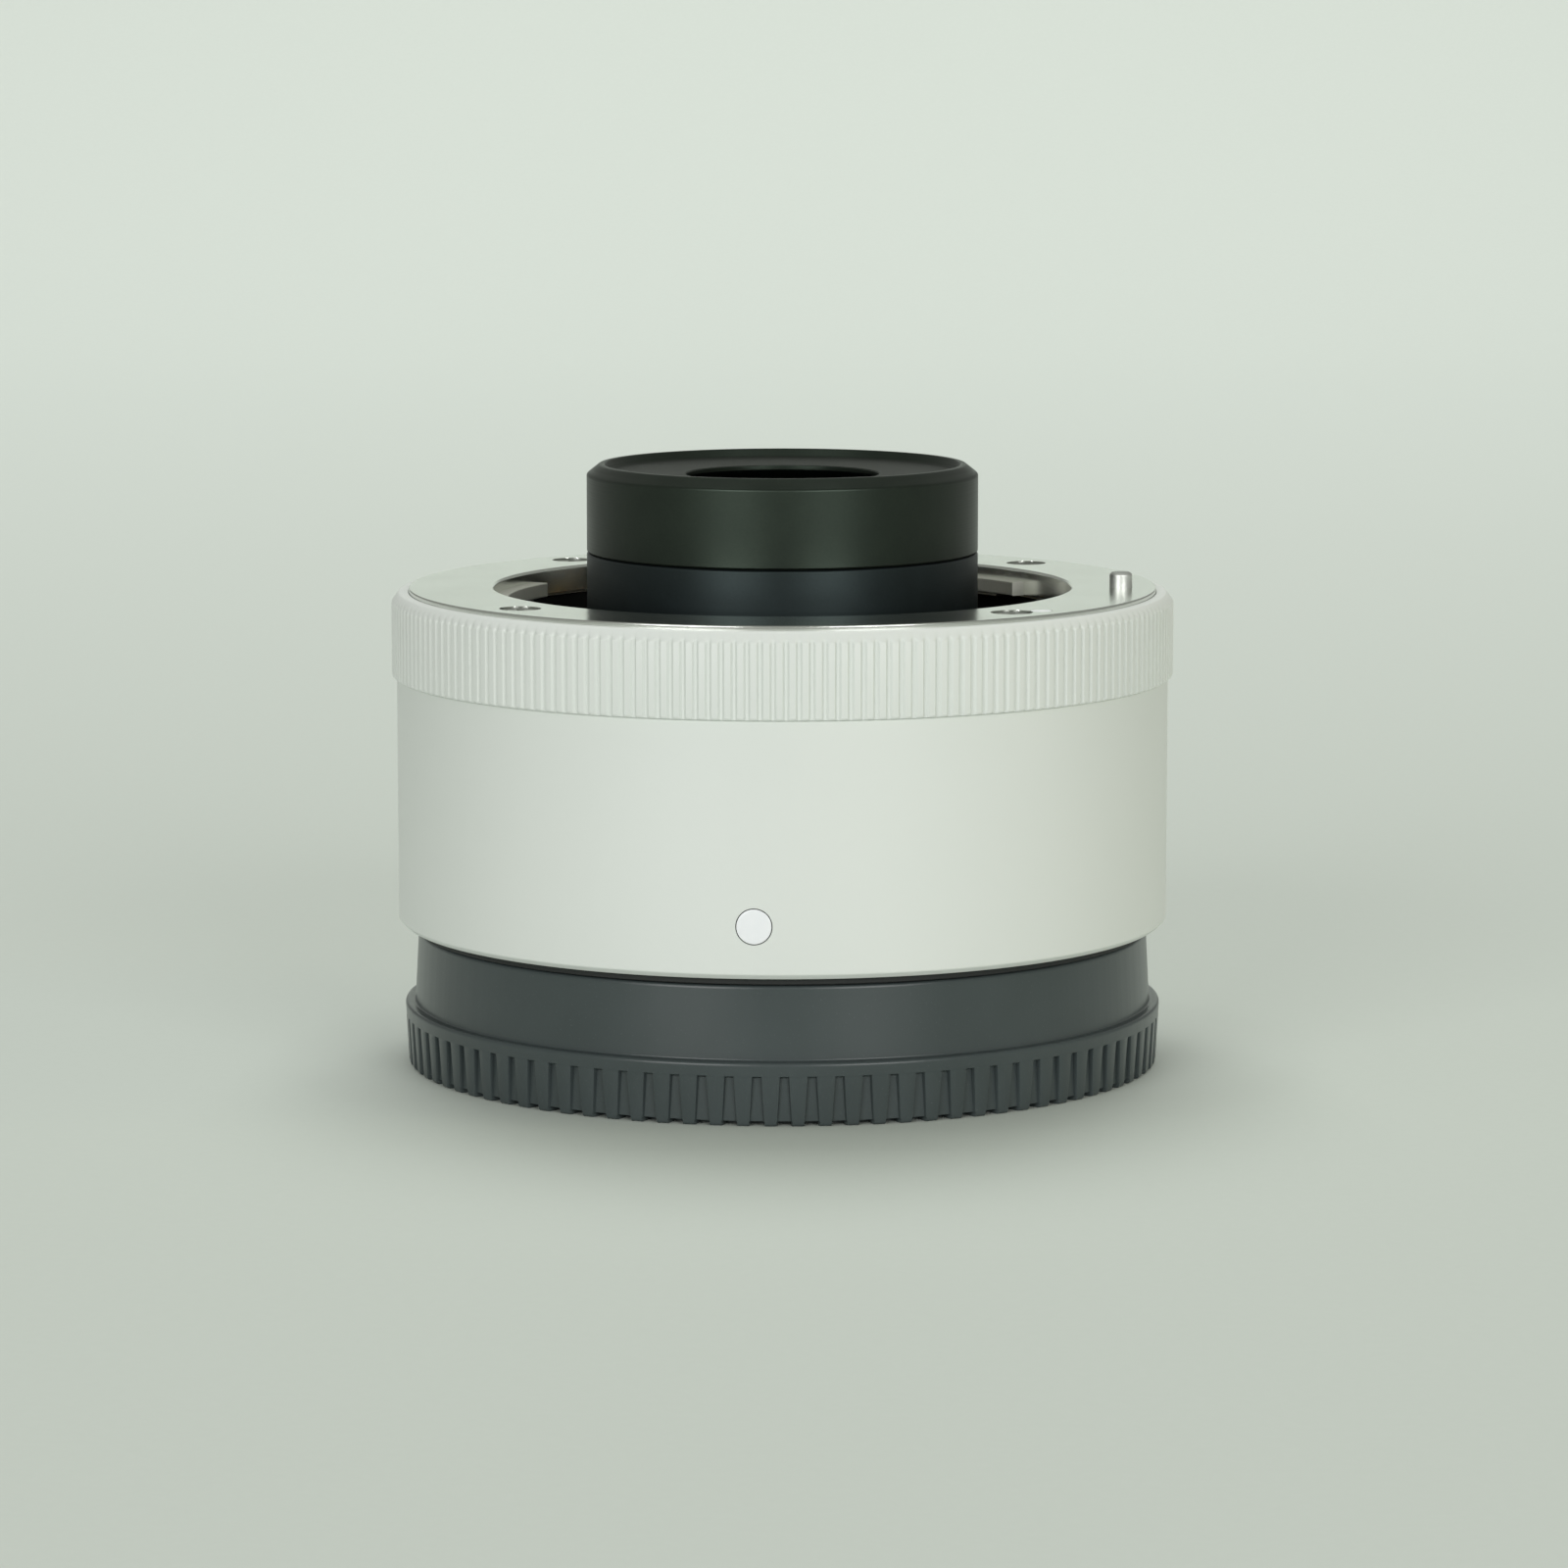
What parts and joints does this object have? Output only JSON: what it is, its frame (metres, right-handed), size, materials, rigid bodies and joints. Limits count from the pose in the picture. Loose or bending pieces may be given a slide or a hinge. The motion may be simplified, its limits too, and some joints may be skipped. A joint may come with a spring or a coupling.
{
  "type": "camera teleconverter",
  "caption": "Lens-mount teleconverter with a white barrel, a ribbed ring, a bayonet mount at each end and a fitted rear cap, standing lens side up.",
  "frame": {"origin": "centre of the rear cap's underside, where the part stands", "axes": "+Z along the optical axis towards the lens side; the index dot on the barrel faces -Y"},
  "size_m": [0.0624, 0.0624, 0.0479],
  "materials": {
    "grey_cap_plastic": "fine matt moulding",
    "chromed_brass": "satin chrome plate",
    "screw_steel": "bright machined",
    "black_trim": "matt, slightly textured",
    "white_paint": "satin fine-grained paint",
    "index_white": "smooth paint fill",
    "spring_steel": "bright wire and strip",
    "chassis_alloy": "cast, matt",
    "black_moulding": "matt, light absorbing",
    "gold_contact": "gold plated",
    "board_laminate": "solder resist",
    "chip_resin": "moulded resin",
    "flex_film": "polyimide film",
    "black_anodised": "matt black anodised",
    "optical_glass": "coated, polished",
    "lever_plastic": "matt moulding",
    "link_steel": "polished"
  },
  "bodies": {
    "converter": {"rear_mount": "chromed_brass", "front_mount_ring": "chromed_brass", "rear_mount_screws": "screw_steel", "front_mount_screws": "screw_steel", "front_block_screws": "screw_steel", "rear_block_screws": "screw_steel", "board_screws": "screw_steel", "tube_screws": "screw_steel", "cell_screws": "screw_steel", "rear_trim_ring": "black_trim", "barrel": "white_paint", "ribbed_ring": "white_paint", "index_dot": "index_white", "front_index_mark": "index_white", "bayonet_spring": "spring_steel", "contact_springs": "spring_steel", "lock_pin_spring": "spring_steel", "lever_spring": "spring_steel", "chassis": "chassis_alloy", "well_liner": "black_moulding", "front_contact_block": "black_moulding", "front_contact_base": "black_moulding", "rear_contact_block": "black_moulding", "rear_baffle": "black_moulding", "rear_contact_pads": "gold_contact", "circuit_board": "board_laminate", "board_chips": "chip_resin", "front_flex": "flex_film", "rear_flex": "flex_film", "lens_tube": "black_anodised", "hood_ring": "black_anodised", "front_spacer": "black_anodised", "middle_spacer": "black_anodised", "rear_spacer": "black_anodised", "front_retaining_ring": "black_anodised", "rear_retaining_ring": "black_anodised", "rear_lens_cell": "black_anodised", "lens_element_1": "optical_glass", "lens_element_2": "optical_glass", "lens_element_3": "optical_glass", "lens_element_4": "optical_glass", "lens_element_5": "optical_glass", "lens_element_6": "optical_glass"},
    "rear_cap": {"rear_cap": "grey_cap_plastic"},
    "release_lever": {"release_lever": "lever_plastic", "release_link": "link_steel", "lever_screws": "screw_steel"},
    "lock_pin": {"lock_pin": "link_steel"},
    "contact_pin_1": {"contact_pin_1": "gold_contact"},
    "contact_pin_2": {"contact_pin_2": "gold_contact"},
    "contact_pin_3": {"contact_pin_3": "gold_contact"},
    "contact_pin_4": {"contact_pin_4": "gold_contact"},
    "contact_pin_5": {"contact_pin_5": "gold_contact"},
    "contact_pin_6": {"contact_pin_6": "gold_contact"},
    "contact_pin_7": {"contact_pin_7": "gold_contact"},
    "contact_pin_8": {"contact_pin_8": "gold_contact"},
    "contact_pin_9": {"contact_pin_9": "gold_contact"},
    "contact_pin_10": {"contact_pin_10": "gold_contact"}
  },
  "joints": [
    {"name": "cap_twist", "type": "hinge", "parent": "converter", "child": "rear_cap", "pos_m": [0, 0, 0], "axis": [0, 0, 1], "range_deg": [-50, 0]},
    {"name": "lever_slide", "type": "slide", "parent": "converter", "child": "release_lever", "axis": [0, 0, -1], "range_m": [0, 0.0013], "stiffness_N_per_m": 300, "springref_m": -0.002, "deforming": ["lever_spring"]},
    {"name": "lock_pin_slide", "type": "slide", "parent": "converter", "child": "lock_pin", "axis": [0, 0, -1], "range_m": [0, 0.0013], "stiffness_N_per_m": 200, "springref_m": -0.002, "deforming": ["lock_pin_spring"]},
    {"name": "contact_pin_1_slide", "type": "slide", "parent": "converter", "child": "contact_pin_1", "axis": [0, 0, -1], "range_m": [0, 0.001], "stiffness_N_per_m": 300, "springref_m": -0.0005, "deforming": ["contact_springs"]},
    {"name": "contact_pin_2_slide", "type": "slide", "parent": "converter", "child": "contact_pin_2", "axis": [0, 0, -1], "range_m": [0, 0.001], "stiffness_N_per_m": 300, "springref_m": -0.0005},
    {"name": "contact_pin_3_slide", "type": "slide", "parent": "converter", "child": "contact_pin_3", "axis": [0, 0, -1], "range_m": [0, 0.001], "stiffness_N_per_m": 300, "springref_m": -0.0005},
    {"name": "contact_pin_4_slide", "type": "slide", "parent": "converter", "child": "contact_pin_4", "axis": [0, 0, -1], "range_m": [0, 0.001], "stiffness_N_per_m": 300, "springref_m": -0.0005},
    {"name": "contact_pin_5_slide", "type": "slide", "parent": "converter", "child": "contact_pin_5", "axis": [0, 0, -1], "range_m": [0, 0.001], "stiffness_N_per_m": 300, "springref_m": -0.0005},
    {"name": "contact_pin_6_slide", "type": "slide", "parent": "converter", "child": "contact_pin_6", "axis": [0, 0, -1], "range_m": [0, 0.001], "stiffness_N_per_m": 300, "springref_m": -0.0005},
    {"name": "contact_pin_7_slide", "type": "slide", "parent": "converter", "child": "contact_pin_7", "axis": [0, 0, -1], "range_m": [0, 0.001], "stiffness_N_per_m": 300, "springref_m": -0.0005},
    {"name": "contact_pin_8_slide", "type": "slide", "parent": "converter", "child": "contact_pin_8", "axis": [0, 0, -1], "range_m": [0, 0.001], "stiffness_N_per_m": 300, "springref_m": -0.0005},
    {"name": "contact_pin_9_slide", "type": "slide", "parent": "converter", "child": "contact_pin_9", "axis": [0, 0, -1], "range_m": [0, 0.001], "stiffness_N_per_m": 300, "springref_m": -0.0005},
    {"name": "contact_pin_10_slide", "type": "slide", "parent": "converter", "child": "contact_pin_10", "axis": [0, 0, -1], "range_m": [0, 0.001], "stiffness_N_per_m": 300, "springref_m": -0.0005}
  ],
  "couplings": [
    {"joint": "lock_pin_slide", "follows": "lever_slide", "ratio": 1}
  ]
}
